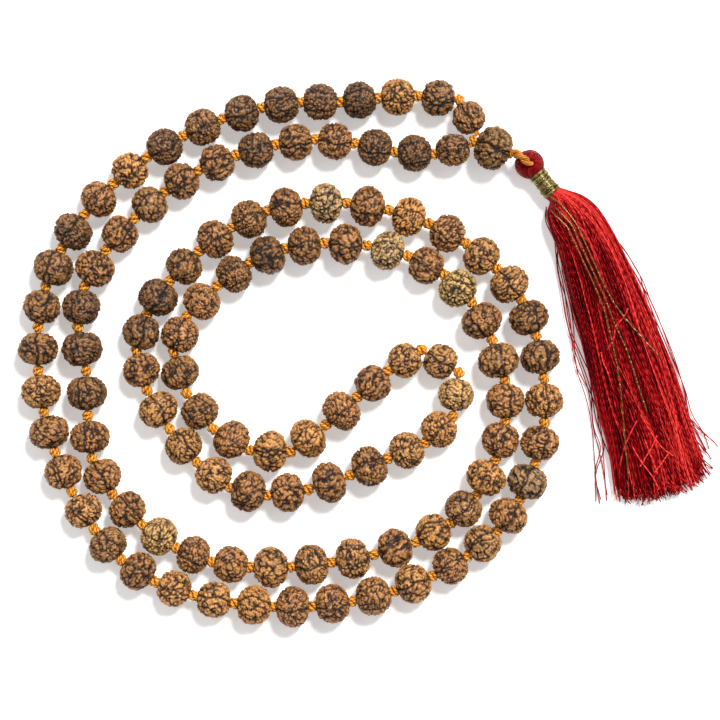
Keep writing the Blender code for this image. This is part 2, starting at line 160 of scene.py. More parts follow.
# The wrap's loose ends, which lie on the silk.
GOLD_RADIUS = 0.152 * MM
TAIL_ROUTES = {
    "gold_tail_1": [
        (0.0462, 0.0359, 0.0068), (0.0475, 0.0345, 0.0074), (0.0488, 0.0329, 0.0077),
        (0.0501, 0.0311, 0.0079), (0.0513, 0.0289, 0.0079), (0.0523, 0.0267, 0.0079),
        (0.0533, 0.0244, 0.0078), (0.0544, 0.0220, 0.0077), (0.0556, 0.0194, 0.0076),
        (0.0568, 0.0168, 0.0075), (0.0583, 0.0138, 0.0073), (0.0602, 0.0107, 0.0071),
        (0.0632, 0.0069, 0.0068), (0.0668, 0.0029, 0.0065), (0.0703, -0.0010, 0.0062),
    ],
    "gold_tail_2": [
        (0.0466, 0.0334, 0.0075), (0.0479, 0.0320, 0.0078), (0.0492, 0.0305, 0.0080),
        (0.0503, 0.0284, 0.0080), (0.0513, 0.0262, 0.0079), (0.0523, 0.0240, 0.0078),
        (0.0534, 0.0215, 0.0077), (0.0546, 0.0189, 0.0076), (0.0558, 0.0163, 0.0074),
        (0.0572, 0.0132, 0.0072), (0.0584, 0.0102, 0.0071), (0.0593, 0.0076, 0.0069),
        (0.0605, 0.0050, 0.0067), (0.0620, 0.0019, 0.0065), (0.0633, -0.0015, 0.0063),
        (0.0644, -0.0048, 0.0061), (0.0654, -0.0080, 0.0059), (0.0665, -0.0113, 0.0057),
        (0.0676, -0.0145, 0.0055),
    ],
    "gold_tail_3": [
        (0.0456, 0.0326, 0.0075), (0.0469, 0.0313, 0.0078), (0.0483, 0.0298, 0.0080),
        (0.0493, 0.0278, 0.0080), (0.0503, 0.0257, 0.0079), (0.0513, 0.0235, 0.0078),
        (0.0524, 0.0210, 0.0077), (0.0536, 0.0185, 0.0075), (0.0548, 0.0159, 0.0074),
        (0.0561, 0.0128, 0.0072), (0.0572, 0.0099, 0.0071), (0.0580, 0.0070, 0.0069),
        (0.0588, 0.0036, 0.0066), (0.0596, 0.0002, 0.0064), (0.0604, -0.0036, 0.0062),
        (0.0610, -0.0078, 0.0059), (0.0615, -0.0120, 0.0057), (0.0619, -0.0164, 0.0054),
        (0.0623, -0.0210, 0.0051), (0.0627, -0.0256, 0.0048), (0.0632, -0.0300, 0.0045),
    ],
}
# Where they come from: the first from under the wrap, the others from among the silk.
TAIL_STARTS = {
    "gold_tail_1": [(0.0436, 0.0379, 0.0050), (0.0447, 0.0370, 0.0060)],
    "gold_tail_2": [(0.0453, 0.0349, 0.0058)],
    "gold_tail_3": [(0.0444, 0.0342, 0.0050)],
}
# Single silk threads that have left the bundle and lie beside it.
STRAY_ROUTES = [
    [(0.0436, 0.0350), (0.0436, 0.0315), (0.0457, 0.0260), (0.0456, 0.0210), (0.0470, 0.0140),
     (0.0488, 0.0060), (0.0510, 0.0000), (0.0540, -0.0075), (0.0550, -0.0110), (0.0560, -0.0180),
     (0.0575, -0.0230), (0.0560, -0.0290), (0.0570, -0.0355)],
    [(0.0440, 0.0345), (0.0443, 0.0300), (0.0461, 0.0240), (0.0462, 0.0190), (0.0478, 0.0120),
     (0.0500, 0.0045), (0.0522, -0.0030), (0.0547, -0.0100), (0.0566, -0.0190), (0.0578, -0.0270),
     (0.0580, -0.0360)],
    [(0.0445, 0.0340), (0.0456, 0.0285), (0.0468, 0.0220), (0.0482, 0.0150), (0.0497, 0.0080),
     (0.0520, 0.0000), (0.0543, -0.0090), (0.0556, -0.0170), (0.0577, -0.0250), (0.0596, -0.0340)],
    [(0.0550, 0.0345), (0.0590, 0.0287), (0.0625, 0.0245), (0.0652, 0.0200), (0.0668, 0.0170),
     (0.0683, 0.0125), (0.0702, 0.0080), (0.0737, -0.0010), (0.0770, -0.0090), (0.0785, -0.0150),
     (0.0808, -0.0195), (0.0826, -0.0235)],
    [(0.0768, -0.0140), (0.0785, -0.0163), (0.0812, -0.0192), (0.0836, -0.0214), (0.0850, -0.0228)],
    [(0.0772, -0.0170), (0.0792, -0.0205), (0.0815, -0.0234), (0.0836, -0.0258)],
    [(0.0766, -0.0195), (0.0787, -0.0232), (0.0812, -0.0262), (0.0838, -0.0281)],
    [(0.0555, 0.0340), (0.0598, 0.0275), (0.0640, 0.0210), (0.0672, 0.0140), (0.0700, 0.0060),
     (0.0732, -0.0020), (0.0762, -0.0095), (0.0780, -0.0160), (0.0812, -0.0240)],
]
# Threads that cross the bundle's lower part, on top of it.
CROSSING_ROUTES = [
    [(0.0630, 0.0105), (0.0618, 0.0082), (0.0600, 0.0062), (0.0596, 0.0035), (0.0580, 0.0005)],
    [(0.0565, 0.0000), (0.0571, -0.0025), (0.0582, -0.0050), (0.0595, -0.0090)],
    [(0.0660, -0.0150), (0.0675, -0.0175), (0.0692, -0.0203), (0.0715, -0.0232), (0.0740, -0.0250)],
    [(0.0652, -0.0165), (0.0632, -0.0205), (0.0618, -0.0245), (0.0611, -0.0290), (0.0613, -0.0345)],
    [(0.0700, -0.0200), (0.0688, -0.0228), (0.0672, -0.0255), (0.0660, -0.0275)],
    [(0.0670, -0.0210), (0.0680, -0.0235), (0.0692, -0.0265), (0.0702, -0.0295)],
    [(0.0730, -0.0240), (0.0718, -0.0258), (0.0706, -0.0275), (0.0694, -0.0290)],
    [(0.0640, -0.0225), (0.0662, -0.0262), (0.0690, -0.0300), (0.0706, -0.0330)],
    [(0.0745, -0.0150), (0.0748, -0.0190), (0.0755, -0.0225), (0.0762, -0.0262)],
]


# ---------------------------------------------------------------- curves and meshes

def curve_points(numbers, places, at):
    """Points on the smooth curve that passes through places where its parameter equals numbers."""
    numbers = np.asarray(numbers, float)
    places = np.asarray(places, float)
    at = np.asarray(at, float)
    slopes = np.gradient(places, numbers, axis=0)
    span = np.clip(np.searchsorted(numbers, at, side="right") - 1, 0, len(numbers) - 2)
    width = (numbers[span + 1] - numbers[span])[..., None]
    t = (at - numbers[span])[..., None] / width
    return (
        places[span] * (2 * t**3 - 3 * t**2 + 1)
        + slopes[span] * width * (t**3 - 2 * t**2 + t)
        + places[span + 1] * (3 * t**2 - 2 * t**3)
        + slopes[span + 1] * width * (t**3 - t**2)
    )


def through(places, count):
    """count points on the smooth curve through places, from its first to its last."""
    numbers = np.arange(len(places))
    return curve_points(numbers, places, np.linspace(0.0, len(places) - 1.0, count))


def unit(vectors):
    """The same directions with length 1."""
    return vectors / np.maximum(np.linalg.norm(vectors, axis=-1, keepdims=True), 1e-12)


def tubes(paths, radii, sides, refs=UP, closed=False):
    """Closed tubes along many paths of equal point count, as points and quads.

    radii has one value for each path point, or for each point of each ring.
    """
    paths = np.asarray(paths, float)
    many, count, _ = paths.shape
    if closed:
        tangents = np.roll(paths, -1, axis=1) - np.roll(paths, 1, axis=1)
    else:
        tangents = np.gradient(paths, axis=1)
    tangents = unit(tangents)
    across = unit(np.cross(tangents, refs))
    upwards = np.cross(across, tangents)
    angles = 2.0 * np.pi * np.arange(sides) / sides
    radii = np.asarray(radii, float)
    if radii.ndim < 3:
        radii = np.broadcast_to(radii, (many, count))[:, :, None]
    offsets = (
        across[:, :, None, :] * np.cos(angles)[:, None]
        + upwards[:, :, None, :] * np.sin(angles)[:, None]
    )
    points = paths[:, :, None, :] + offsets * radii[..., None]
    index = np.arange(many * count * sides).reshape(many, count, sides)
    here = index if closed else index[:, :-1]
    ahead = np.roll(index, -1, axis=1) if closed else index[:, 1:]
    walls = np.stack(
        [here, ahead, np.roll(ahead, -1, axis=2), np.roll(here, -1, axis=2)], axis=-1
    )
    quads = [walls.reshape(-1, 4)]
    if not closed:
        for i in range(sides // 2 - 1):
            corners = [i, i + 1, sides - 2 - i, sides - 1 - i]
            quads.append(index[:, 0][:, corners])
            quads.append(index[:, -1][:, corners[::-1]])
    return points.reshape(-1, 3), np.concatenate(quads)


def per_tube(values, count, sides):
    """One value for each tube, repeated for all its points."""
    return np.repeat(np.asarray(values, float), count * sides)


def per_ring(values, many, sides):
    """One value for each ring, the same in all tubes."""
    return np.tile(np.repeat(np.asarray(values, float), sides), many)


def add_piece(name, shapes, material, body, nodes):
    """One piece from shapes of (points, quads, attributes), which rides on body."""
    points = np.concatenate([shape[0] for shape in shapes])
    starts = np.cumsum([0] + [len(shape[0]) for shape in shapes[:-1]])
    quads = np.concatenate([shape[1] + start for shape, start in zip(shapes, starts)])
    mesh = bpy.data.meshes.new(name)
    mesh.vertices.add(len(points))
    mesh.vertices.foreach_set("co", points.astype(np.float32).ravel())
    mesh.loops.add(quads.size)
    mesh.loops.foreach_set("vertex_index", quads.astype(np.int32).ravel())
    mesh.polygons.add(len(quads))
    mesh.polygons.foreach_set("loop_start", np.arange(0, quads.size, 4, dtype=np.int32))
    mesh.update(calc_edges=True)
    for key in shapes[0][2]:
        values = np.concatenate([shape[2][key] for shape in shapes]).astype(np.float32)
        if values.ndim == 2:
            data = mesh.attributes.new(key, "FLOAT_COLOR", "POINT").data
            data.foreach_set("color", np.column_stack([values, np.ones(len(values))]).ravel())
        else:
            mesh.attributes.new(key, "FLOAT", "POINT").data.foreach_set("value", values)
    mesh.shade_smooth()
    mesh.materials.append(material)
    piece = bpy.data.objects.new(name, mesh)
    bpy.context.scene.collection.objects.link(piece)
    if body:
        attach(piece, body)
    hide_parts(*nodes)
    return piece


# ---------------------------------------------------------------- materials

def start_material(name):
    """A node material, its tree and its Principled shader."""
    material = bpy.data.materials.new(name)
    material.use_nodes = True
    tree = material.node_tree
    return material, tree, tree.nodes["Principled BSDF"]


def connect(tree, node, sockets):
    """Sets or links a node's inputs by name or number."""
    for key, value in sockets.items():
        if isinstance(value, bpy.types.NodeSocket):
            tree.links.new(value, node.inputs[key])
        else:
            node.inputs[key].default_value = value


def add_node(tree, kind, sockets, **settings):
    """One node with its settings and inputs."""
    node = tree.nodes.new(kind)
    for key, value in settings.items():
        setattr(node, key, value)
    connect(tree, node, sockets)
    return node


def attribute(tree, name, output="Fac"):
    """A value that the mesh carries."""
    return add_node(tree, "ShaderNodeAttribute", {}, attribute_name=name).outputs[output]


def maths(tree, operation, *values):
    """One operation on its values."""
    sockets = dict(enumerate(values))
    return add_node(tree, "ShaderNodeMath", sockets, operation=operation).outputs[0]


def noise(tree, scale, detail=3.0, vector=None):
    """Noise from 0 to 1, in the piece's own space unless vector says otherwise."""
    if vector is None:
        vector = add_node(tree, "ShaderNodeTexCoord", {}).outputs["Object"]
    sockets = {"Vector": vector, "Scale": scale, "Detail": detail}
    return add_node(tree, "ShaderNodeTexNoise", sockets).outputs["Fac"]


def ramp(tree, factor, stops):
    """A colour ramp with stops of (place, colour)."""
    node = add_node(tree, "ShaderNodeValToRGB", {"Fac": factor})
    elements = node.color_ramp.elements
    while len(elements) < len(stops):
        elements.new(0.5)
    for element, (place, colour) in zip(elements, stops):
        element.position = place
        element.color = (*colour, 1.0)
    return node.outputs["Color"]


def mixed(tree, factor, one, two, blend_type="MIX"):
    """Two colours mixed by factor."""
    node = tree.nodes.new("ShaderNodeMix")
    node.data_type = "RGBA"
    node.blend_type = blend_type
    connect(tree, node, {0: factor, 6: one, 7: two})
    return node.outputs[2]


def bump(tree, height, strength, distance):
    """A bumped normal."""
    sockets = {"Height": height, "Strength": strength, "Distance": distance}
    return add_node(tree, "ShaderNodeBump", sockets).outputs["Normal"]


def seed_material(name):
    """Rudraksha: dark, rough hollows and lighter ridges that hands have polished; the colour also paints shade
    in the hollows and highlights on the ridge tops.
    """
    material, tree, shader = start_material(name)
    relief = attribute(tree, "relief")
    tone = attribute(tree, "tone", "Color")
    grain = noise(tree, 2600.0, 5.0)
    patches = noise(tree, 330.0, 2.0)
    height = maths(tree, "ADD", relief, maths(tree, "MULTIPLY_ADD", grain, 0.54, -0.27))
    # Painted light and shade: the hollows go near black, partly the seed's own dark hollows and partly painted
    # shade, and the ridge tops go up to 2.25 times the tone, partly polish and partly painted highlights.
    depth = ramp(tree, height, [
        (0.12, (0.04, 0.028, 0.024)),
        (0.38, (0.33, 0.29, 0.25)),
        (0.62, (1.00, 0.95, 0.86)),
        (0.90, (2.25, 2.25, 2.00)),
    ])
    warmth = ramp(tree, patches, [(0.3, (0.78, 0.76, 0.78)), (0.7, (1.14, 1.12, 1.04))])
    colour = mixed(tree, 1.0, mixed(tree, 1.0, tone, depth, "MULTIPLY"), warmth, "MULTIPLY")
    roughness = ramp(tree, height, [(0.2, (0.9,) * 3), (0.9, (0.33,) * 3)])
    connect(tree, shader, {
        "Base Color": colour,
        "Roughness": roughness,
        "Normal": bump(tree, grain, 0.6, 0.00022),
    })
    return material


def thread_material(name, dark, light, bright, roughness, lines):
    """Twisted cord: painted shade in the grooves between its plies, and fibres whose brightest flecks are
    painted highlights.
    """
    material, tree, shader = start_material(name)
    ply = attribute(tree, "ply")
    fibres = noise(tree, lines, 4.0)
    patches = noise(tree, 500.0, 2.0)
    # ply darkens the grooves between plies (painted shade); the brightest fibres reach the bright colour
    # (painted highlights).
    value = maths(tree, "MULTIPLY_ADD", fibres, 0.7, maths(tree, "MULTIPLY_ADD", ply, 0.7, -0.2))
    colour = ramp(tree, value, [(0.08, dark), (0.5, light), (0.92, bright)])
    shade = ramp(tree, patches, [(0.3, (0.80, 0.74, 0.7)), (0.7, (1.12, 1.1, 1.05))])
    connect(tree, shader, {
        "Base Color": mixed(tree, 1.0, colour, shade, "MULTIPLY"),
        "Roughness": roughness,
        "Specular IOR Level": 0.3,
        "Normal": bump(tree, fibres, 0.5, 0.0001),
    })
    return material


def silk_material(name, dark, middle, bright):
    """Glossy thread: its twist bumps it and paints highlights broken along its length."""
    material, tree, shader = start_material(name)
    shade = attribute(tree, "shade")
    along = attribute(tree, "along")
    own_place = maths(tree, "MULTIPLY", shade, 0.31)
    place = add_node(tree, "ShaderNodeCombineXYZ", {"X": along, "Y": own_place}).outputs["Vector"]
    slubs = noise(tree, 420.0, 2.0, place)
    # The twist's sine brightens and darkens the colour along each thread: painted highlights.
    turn = maths(tree, "MULTIPLY_ADD", along, 4200.0, maths(tree, "MULTIPLY", shade, 90.0))
    twist = maths(tree, "SINE", turn)
    value = maths(tree, "MULTIPLY_ADD", slubs, 0.36, maths(tree, "SUBTRACT", shade, 0.18))
    value = maths(tree, "MULTIPLY_ADD", twist, 0.12, value)
    colour = ramp(tree, value, [(0.0, dark), (0.5, middle), (1.0, bright)])
    connect(tree, shader, {
        "Base Color": colour,
        "Roughness": ramp(tree, slubs, [(0.35, (0.26,) * 3), (0.65, (0.46,) * 3)]),
        "Metallic": 0.25,
        "Specular IOR Level": 0.45,
        "Specular Tint": (1.0, 0.13, 0.12, 1.0),
        "Normal": bump(tree, twist, 0.42, 0.00016),
    })
    return material


def gold_material(name):
    """Metallic thread: turns of random tone with painted glints, over a core coloured dark as painted shade."""
    material, tree, shader = start_material(name)
    shade = attribute(tree, "shade")
    place = add_node(tree, "ShaderNodeCombineXYZ", {
        "X": attribute(tree, "along"),
        "Y": maths(tree, "MULTIPLY", shade, 0.31),
    }).outputs["Vector"]
    foil_glint = noise(tree, 1900.0, 2.0, place)
    value = maths(tree, "MULTIPLY_ADD", foil_glint, 1.3, maths(tree, "MULTIPLY_ADD", shade, 0.36, -0.36))
    connect(tree, shader, {
        # Low values, as on the core, paint dark shade in the gaps between turns; high noise values paint glints.
        "Base Color": ramp(tree, value, [
            (0.2, (0.03, 0.02, 0.005)), (0.5, (0.24, 0.17, 0.042)), (0.85, (1.0, 0.85, 0.42)),
        ]),
        "Metallic": 0.82,
        "Roughness": ramp(tree, foil_glint, [(0.3, (0.26,) * 3), (0.7, (0.48,) * 3)]),
        "Normal": bump(tree, foil_glint, 0.4, 0.00006),
    })
    return material


# ---------------------------------------------------------------- camera, light and floor

def add_camera():
    """Straight above the mala, from far enough off that its sides hardly show."""
    lens, sensor, distance = 187.5, 36.0, 0.9
    data = bpy.data.cameras.new("camera")
    data.lens = lens
    data.sensor_width = sensor
    data.clip_start = 0.01
    camera = bpy.data.objects.new("camera", data)
    camera.location = (-0.00127, -0.00192, STRING_HEIGHT + distance)
    bpy.context.scene.collection.objects.link(camera)
    bpy.context.scene.camera = camera


def add_sun(name, energy, softness, direction, colour=(1.0, 1.0, 1.0)):
    """A broad, far light that shines from direction."""
    data = bpy.data.lights.new(name, "SUN")
    data.energy = energy
    data.angle = math.radians(softness)
    data.color = colour
    light = bpy.data.objects.new(name, data)
    light.rotation_euler = Vector(direction).to_track_quat("Z", "Y").to_euler()
    bpy.context.scene.collection.objects.link(light)


def add_floor():
    """A pale board under everything, lit a little from below like a light table."""
    half, thick = 1.5, 0.01
    corners = np.array([
        (x, y, z) for z in (-thick, 0.0) for x, y in ((-half, -half), (half, -half), (half, half), (-half, half))
    ])
    corners[:, 2] += FLOOR_HEIGHT
    quads = [(0, 3, 2, 1), (4, 5, 6, 7), (0, 1, 5, 4), (1, 2, 6, 5), (2, 3, 7, 6), (3, 0, 4, 7)]
    mesh = bpy.data.meshes.new("floor")
    mesh.from_pydata(corners.tolist(), [], quads)
    material, tree, shader = start_material("pale_board")
    tint = ramp(tree, noise(tree, 40.0, 3.0), [(0.3, (0.86, 0.86, 0.865)), (0.7, (0.88, 0.88, 0.88))])
    connect(tree, shader, {
        "Base Color": tint, "Roughness": 0.9, "Specular IOR Level": 0.1,
        "Emission Color": (1.0, 1.0, 1.0, 1.0), "Emission Strength": 0.36,
    })
    mesh.materials.append(material)
    floor = bpy.data.objects.new("floor", mesh)
    bpy.context.scene.collection.objects.link(floor)


def add_studio():
    """Light from the far side and its right, an even white surround and the floor."""
    scene = bpy.context.scene
    scene.view_settings.view_transform = "Standard"
    world = bpy.data.worlds.new("surround")
    world.use_nodes = True
    world.node_tree.nodes["Background"].inputs["Color"].default_value = (1.0, 1.0, 1.0, 1.0)
    world.node_tree.nodes["Background"].inputs["Strength"].default_value = 0.36
    scene.world = world
    add_sun("key", 4.0, 13.0, (0.32, 0.54, 1.0), (1.0, 0.985, 0.96))
    add_sun("fill", 0.35, 30.0, (-0.8, 0.35, 1.0), (0.97, 0.985, 1.0))
    add_floor()


# ---------------------------------------------------------------- the string

def string_knots():
    """The place of every knot, the two at the junction knot included."""
    places = np.column_stack([ROUTE[:, 1:], np.full(len(ROUTE), STRING_HEIGHT)])
    knots = curve_points(ROUTE[:, 0], places, np.arange(BEAD_COUNT + 1))
    knots[[0, -1], 2] = JUNCTION[2]
    return knots


def thread_path(knots, first, last):
    """The thread's line from knot first to knot last: straight in each bead, turning in each knot."""
    line = [knots[first]]
    for n in range(first, last):
        ahead = unit(knots[n + 1] - knots[n])
        start = knots[n] + ahead * KNOT_BEND
        end = knots[n + 1] - ahead * KNOT_BEND
        line += [start + (end - start) * share for share in np.linspace(0.0, 1.0, 14)]
        if n + 1 < last:
            after = unit(knots[n + 2] - knots[n + 1])
            leave = knots[n + 1] + after * KNOT_BEND
            for t in (0.25, 0.5, 0.75):
                line.append(end * (1 - t) ** 2 + knots[n + 1] * 2 * t * (1 - t) + leave * t**2)
    line.append(knots[last])
    return np.array(line)


def twisted_thread(line, radius, pitch, sides=10, plies=3, depth=0.24):
    """A cord of a few plies along line, as one shape; depth is how far they are set apart."""
    run = np.concatenate([[0.0], np.cumsum(np.linalg.norm(np.diff(line, axis=0), axis=1))])
    angles = 2.0 * np.pi * np.arange(sides) / sides
    # ply is the plies' profile round the cord: it shapes them and, in the colour, paints shade in the grooves
    # between them.
    ply = np.abs(np.cos(0.5 * plies * (angles[None, :] - 2.0 * np.pi * run[:, None] / pitch)))
    radius = np.broadcast_to(radius, len(line))[:, None]
    points, quads = tubes(line[None], (radius * (1.0 - depth + depth * ply))[None], sides)
    return points, quads, {"ply": ply.ravel()}


def knot_shape():
    """A tight knot wound round the x axis, about 1.3 in radius: points, quads and ply."""
    count, sides, windings, dips = 180, 8, 4, 3
    turn = 2.0 * np.pi * np.arange(count) / count
    out = np.column_stack([np.zeros(count), np.cos(windings * turn), np.sin(windings * turn)])
    dip = (dips * turn)[:, None]
    lift = out * np.cos(dip) + np.array((1.0, 0.0, 0.0)) * np.sin(dip)
    path = 0.62 * out + lift * np.array((0.52, 0.40, 0.40))
    angles = 2.0 * np.pi * np.arange(sides) / sides
    # ply shapes the wound strands and, in the colour, paints shade in the grooves between them.
    ply = np.abs(np.cos(angles[None, :] - 17.0 * turn[:, None]))
    radii = 0.30 * (0.78 + 0.22 * ply)
    points, quads = tubes(path[None], radii[None], sides, lift[None], closed=True)
    return points, quads, {"ply": ply.ravel()}


def tied_knot(shape, centre, axis, radius, half_length, rng):
    """A copy of the knot's shape, set on the string with a little tilt of its own."""
    points, quads, values = shape
    axis = unit(axis + rng.normal(0.0, 0.22, 3))
    side = unit(np.cross(UP, axis))
    top = np.cross(axis, side)
    spin = rng.uniform(0.0, 2.0 * np.pi)
    y = points[:, 1] * math.cos(spin) - points[:, 2] * math.sin(spin)
    z = points[:, 1] * math.sin(spin) + points[:, 2] * math.cos(spin)
    size = radius * rng.uniform(0.94, 1.05)
    placed = (
        centre
        + points[:, :1] * axis * half_length
        + (y * size)[:, None] * side
        + (z * size)[:, None] * top
    )
    return placed, quads, values


def knots_of(knots, numbers, shape, rng):
    """The knots with these numbers, as shapes."""
    made = []
    for n in numbers:
        before = unit(knots[n] - knots[n - 1])
        after = unit(knots[min(n + 1, BEAD_COUNT)] - knots[n])
        made.append(tied_knot(shape, knots[n], unit(before + after), 1.10 * MM, 1.6 * MM, rng))
    return made


def add_string(knots, material):
    """The thread and its knots, in one piece for each stretch that moves together."""
    rng = np.random.default_rng(11)
    shape = knot_shape()
    for name, body, runs, first, last in STRANDS:
        nodes = [f"beads_{a:03d}_to_{b:03d}" for a, b in runs]
        low = min(first, runs[0][0] - 1)
        line = thread_path(knots, low, max(last, runs[-1][1]))
        thread = add_piece(
            name + "_thread", [twisted_thread(line, THREAD_RADIUS, 2.4 * MM)], material, body, nodes,
        )
        ties = knots_of(knots, range(first, last + 1), shape, rng)
        tied = add_piece(name + "_knots", ties, material, body, nodes)
    for name, body, first, last, numbers in SINGLE_STRETCHES:
        nodes = [name + "_thread"]
        line = thread_path(knots, first - 1, last)
        thread = add_piece(
            name + "_cord", [twisted_thread(line, THREAD_RADIUS, 2.4 * MM)], material, body, nodes,
        )
        tied = add_piece(
            name + "_knots", knots_of(knots, numbers, shape, rng), material, body, nodes
        )
    return shape


# ---------------------------------------------------------------- seeds

def waves(points, wavelength, rng, count=34):
    """A smooth random field of about unit size, whose lumps are half a wavelength wide."""
    directions = unit(rng.normal(size=(count, 3)))
    lengths = wavelength * rng.uniform(0.84, 1.22, count)
    phases = rng.uniform(0.0, 2.0 * np.pi, count)
    turns = points @ (directions * (2.0 * np.pi / lengths)[:, None]).T + phases
    return np.cos(turns).sum(axis=1) * math.sqrt(2.0 / count)


def seed_grid(radius, half_length):
    """A seed's plain surface, then its bore, as rings of (x, radius), and which rings are carved."""
    end = math.acos((RIM_RADIUS / radius) ** (1.0 / 0.8))
    turn = np.linspace(-end, end, SEED_ROWS)
    x = half_length * np.sin(turn)
    reach = radius * np.cos(turn) ** 0.8
    mouth = x[-1] - 0.12 * MM
    inside = x[-1] - 0.75 * MM
    bore_x = np.array([mouth, inside, inside * 0.33, -inside * 0.33, -inside, -mouth])
    bore_r = np.array([1.02 * MM] + [BORE_RADIUS] * 4 + [1.02 * MM])
    return np.concatenate([x, bore_x]), np.concatenate([reach, bore_r])


def carved_seed(centre, axis, radius, half_length, wavelength, depth, stretch, tone, rng):
    """One rudraksha: lumps and worm-like ridges, split by lines from hole to hole.

    A stretch below 1 draws the ridges out along the hole, above 1 round it.
    """
    x, reach = seed_grid(radius, half_length)
    angles = 2.0 * np.pi * np.arange(SEED_SIDES) / SEED_SIDES
    along, angle = np.meshgrid(x, angles, indexing="ij")
    out = np.repeat(reach[:, None], SEED_SIDES, axis=1)
    local = np.stack([along, out * np.cos(angle), out * np.sin(angle)], axis=-1).reshape(-1, 3)
    ridges = np.abs(waves(local * np.array((stretch, 1.0, 1.0)), wavelength, rng))
    filled = np.maximum(waves(local, 1.1 * wavelength, rng) - 0.1, 0.0)
    knobs = np.abs(waves(local, 0.62 * wavelength, rng))
    fine = waves(local, 0.36 * wavelength, rng)
    relief = np.tanh(1.15 * ridges + 0.55 * filled) * (0.52 + 0.48 * np.tanh(2.2 * knobs))
    groove = np.zeros(len(local))
    sway = rng.uniform(0.0, 2.0 * np.pi)
    for i in range(SEED_FACES):
        line = (i + rng.uniform(-0.16, 0.16)) * 2.0 * np.pi / SEED_FACES + sway
        bend = 0.09 * np.sin(900.0 * along + rng.uniform(0.0, 6.28))
        away = (np.mod(angle - line - bend + np.pi, 2.0 * np.pi) - np.pi) * out
        cut = np.exp(-((away / (0.26 * MM)) ** 2)).ravel()
        groove = np.maximum(groove, cut * rng.uniform(0.45, 1.0))
    # The lines from hole to hole are sunk, and through the relief their colour is darkened too: partly painted
    # shade in them.
    relief = relief * (1.0 - 0.92 * groove)
    shoulder = np.clip((out.ravel() - 1.05 * MM) / (0.9 * MM), 0.0, 1.0)
    carved = (np.arange(len(x)) < SEED_ROWS).repeat(SEED_SIDES)
    # The bore's colour height is 0.05, which the material paints near black: painted shade inside the hole.
    # Towards the rim the colour height eases to a dark fixed value.
    relief = np.where(carved, relief * shoulder + 0.25 * (1.0 - shoulder), 0.05)
    normal = unit(local / np.array((half_length, radius, radius)) ** 2)
    sink = np.minimum(depth * (relief - 1.0) + 0.12 * MM * fine * relief, 0.05 * MM)
    uneven = 0.10 * MM * waves(local, 7.0 * MM, rng, 10)
    local = local + normal * np.where(carved, (sink + np.minimum(uneven, 0.0)) * shoulder, 0.0)[:, None]
    side = unit(np.cross(UP, axis))
    top = np.cross(axis, side)
    points = centre + local[:, :1] * axis + local[:, 1:2] * side + local[:, 2:] * top
    index = np.arange(len(points)).reshape(len(x), SEED_SIDES)
    ahead = np.roll(index, -1, axis=0)
    quads = np.stack(
        [index, np.roll(index, -1, axis=1), np.roll(ahead, -1, axis=1), ahead], axis=-1
    ).reshape(-1, 4)
    # The colour height: low is painted dark, which is the seed's own hollows and painted shade; high is painted
    # light, which is polish and painted highlights.
    relief_shade_and_wear = np.clip(relief + 0.12 * fine, 0.0, 1.0)
    return points, quads[:, ::-1], {"relief": relief_shade_and_wear, "tone": np.tile(tone, (len(points), 1))}


def seed_radii(centres):
    """How wide each seed is: as wide as its neighbours on the other strands leave room for."""
    away = np.linalg.norm(centres[:, None] - centres[None], axis=-1)
    number = np.arange(len(centres))
    beside = np.abs(number[:, None] - number[None]) <= 1
    away[beside] = np.inf
    return np.clip(away.min(axis=1) / 2.0 + 0.12 * MM, *SEED_RADII)


def add_seeds(knots, material):
    """All 108 seeds: those that turn as pieces of their own, the others in their runs."""
    centres = (knots[:-1] + knots[1:]) / 2.0
    axes = unit(knots[1:] - knots[:-1])
    radii = seed_radii(centres)
    tones = {bead: tone for tone, beads in SEED_TONES.items() for bead in beads}
    turning = {n for _, _, first, last, _ in SINGLE_STRETCHES for n in range(first, last + 1)}

    def seed(bead):
        rng = np.random.default_rng(1000 + bead)
        radius = radii[bead - 1] * rng.uniform(0.95, 1.0)
        centre = centres[bead - 1].copy()
        if bead in turning:
            radius = min(radius, TURNING_SEED_RADIUS)
        else:
            centre[2] = radius + FLOOR_HEIGHT
        if bead in (1, BEAD_COUNT):
            radius = END_SEED_RADIUS
        if bead in CROWDED_SEEDS:
            radius = min(radius, CROWDED_SEED_RADIUS)
        tone = np.array(tones.get(bead, USUAL_BROWN)) * rng.uniform(0.88, 1.12)
        wavelength = rng.uniform(1.45, 2.15) * MM
        depth = rng.uniform(0.62, 0.86) * MM
        half_length = SEED_HALF_LENGTH * rng.uniform(0.95, 1.03)
        if bead in CROWDED_SEEDS:
            half_length = 0.95 * SEED_HALF_LENGTH
        stretch = rng.uniform(0.6, 1.35)
        return carved_seed(
            centre, axes[bead - 1], radius, half_length, wavelength, depth, stretch, tone, rng
        )

    for bead in sorted(turning):
        name = f"bead_{bead:03d}"
        add_piece("seed_" + name[5:], [seed(bead)], material, name, [name])
    for _, body, runs, _, _ in STRANDS:
        for first, last in runs:
            name = f"beads_{first:03d}_to_{last:03d}"
            shapes = [seed(bead) for bead in range(first, last + 1)]
            add_piece("seeds" + name[5:], shapes, material, body, [name])


